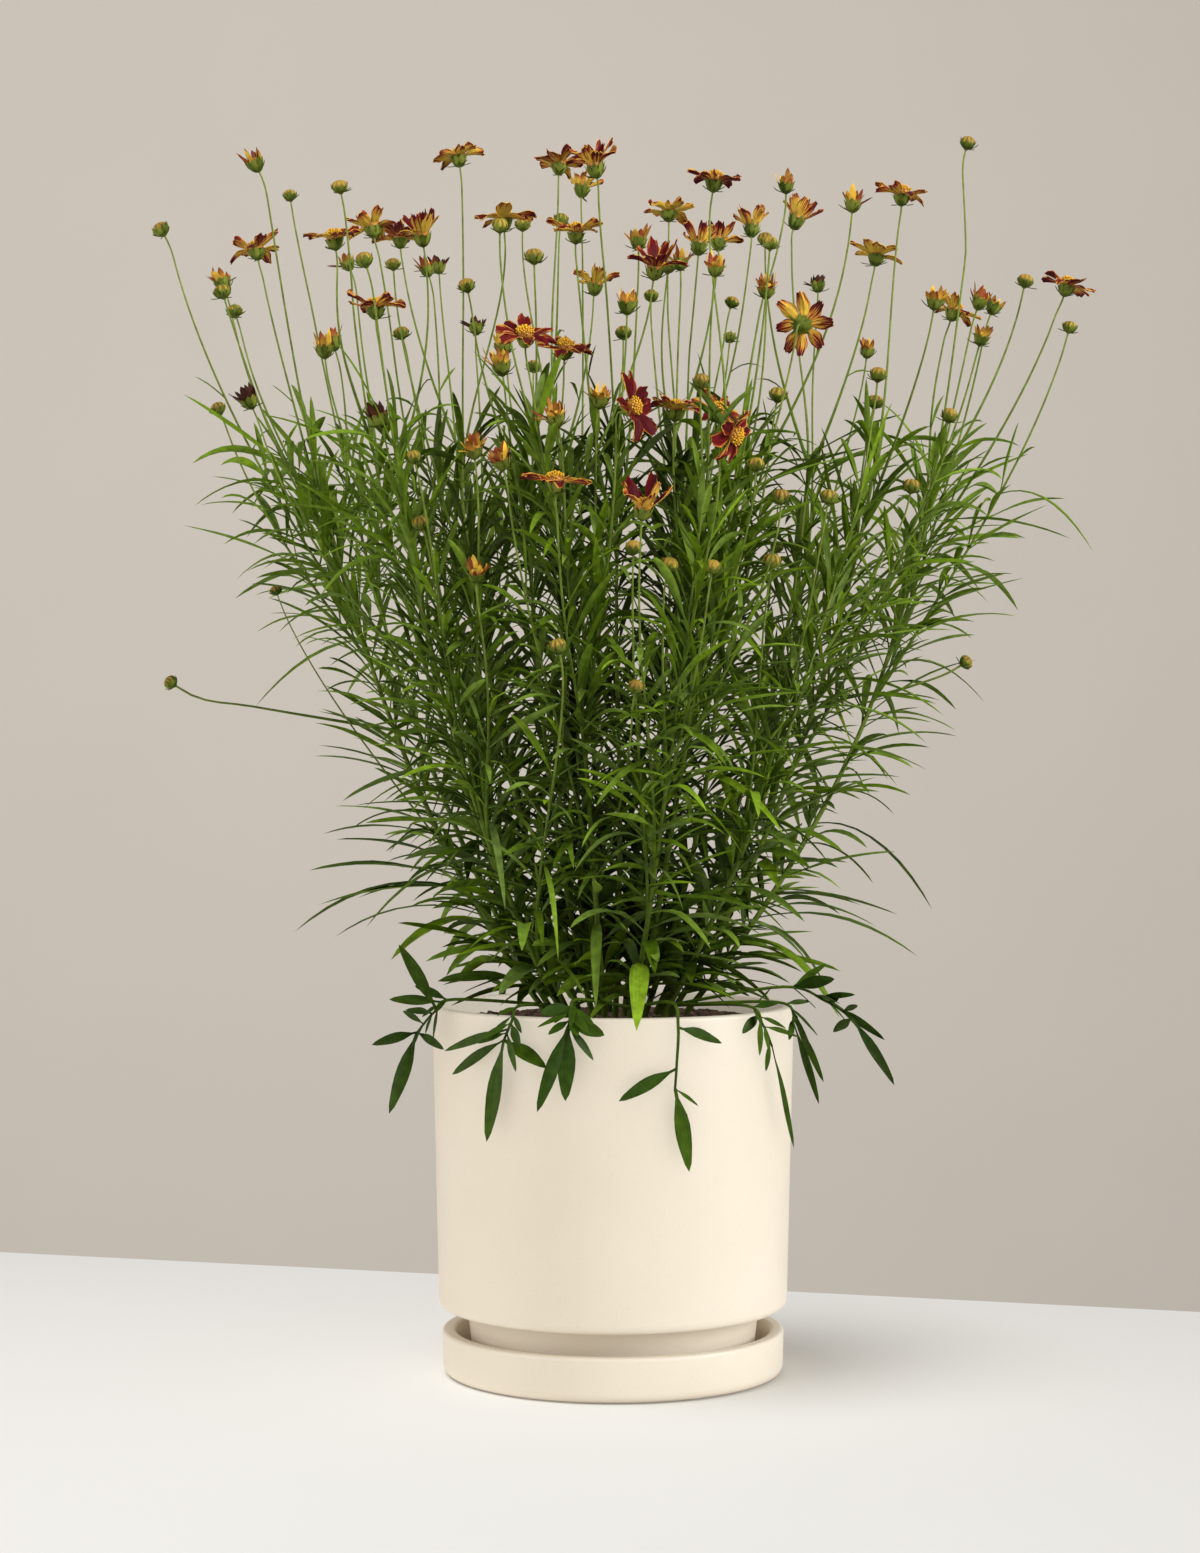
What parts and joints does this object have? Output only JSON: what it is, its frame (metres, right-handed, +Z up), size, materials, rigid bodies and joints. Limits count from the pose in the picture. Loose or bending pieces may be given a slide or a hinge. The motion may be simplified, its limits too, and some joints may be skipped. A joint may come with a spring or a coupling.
{
  "type": "potted coreopsis",
  "caption": "Coreopsis with red and gold flowers on tall wiry stems, growing in a cream glazed pot that stands in its saucer.",
  "frame": {"origin": "centre of the saucer's flat underside, on the pot's axis", "axes": "+Z up along the pot's axis, -Y towards the front view, +X to the right in it"},
  "size_m": [0.5993, 0.4731, 0.8064],
  "materials": {
    "glaze": "cream satin glaze",
    "soil": "rough bark compost, matte",
    "foliage": "matte leaf",
    "petals": "matte petal, red with gold edges"
  },
  "bodies": {
    "root": {"pot": "glaze", "saucer": "glaze", "soil": "soil", "leafy_stem_01": "foliage", "leafy_stem_02": "foliage", "leafy_stem_03": "foliage", "leafy_stem_04": "foliage", "leafy_stem_05": "foliage", "leafy_stem_06": "foliage", "leafy_stem_07": "foliage", "leafy_stem_08": "foliage", "leafy_stem_09": "foliage", "leafy_stem_10": "foliage", "leafy_stem_11": "foliage", "leafy_stem_12": "foliage", "leafy_stem_13": "foliage", "leafy_stem_14": "foliage", "leafy_stem_15": "foliage", "leafy_stem_16": "foliage", "leafy_stem_17": "foliage", "leafy_stem_18": "foliage", "leafy_stem_19": "foliage", "leafy_stem_20": "foliage", "leafy_stem_21": "foliage", "leafy_stem_22": "foliage", "leafy_stem_23": "foliage", "leafy_stem_24": "foliage", "bloom_01": "petals", "bloom_02": "petals", "bloom_03": "petals", "bloom_04": "petals", "bloom_05": "petals", "bloom_06": "petals", "bloom_07": "petals", "bloom_08": "petals", "bloom_09": "petals", "bloom_10": "petals", "bloom_11": "petals", "bloom_12": "petals", "bloom_13": "petals", "bloom_14": "petals", "bloom_15": "petals", "bloom_16": "petals", "bloom_17": "petals", "bloom_18": "petals", "bloom_19": "petals", "bloom_20": "petals", "bloom_21": "petals", "bloom_22": "petals", "bloom_23": "petals", "bloom_24": "petals", "bloom_25": "petals", "bloom_26": "petals", "bloom_27": "petals", "bloom_28": "petals", "bloom_29": "petals", "bloom_30": "petals", "bloom_31": "petals", "bloom_32": "petals", "bloom_33": "petals"}
  },
  "joints": []
}
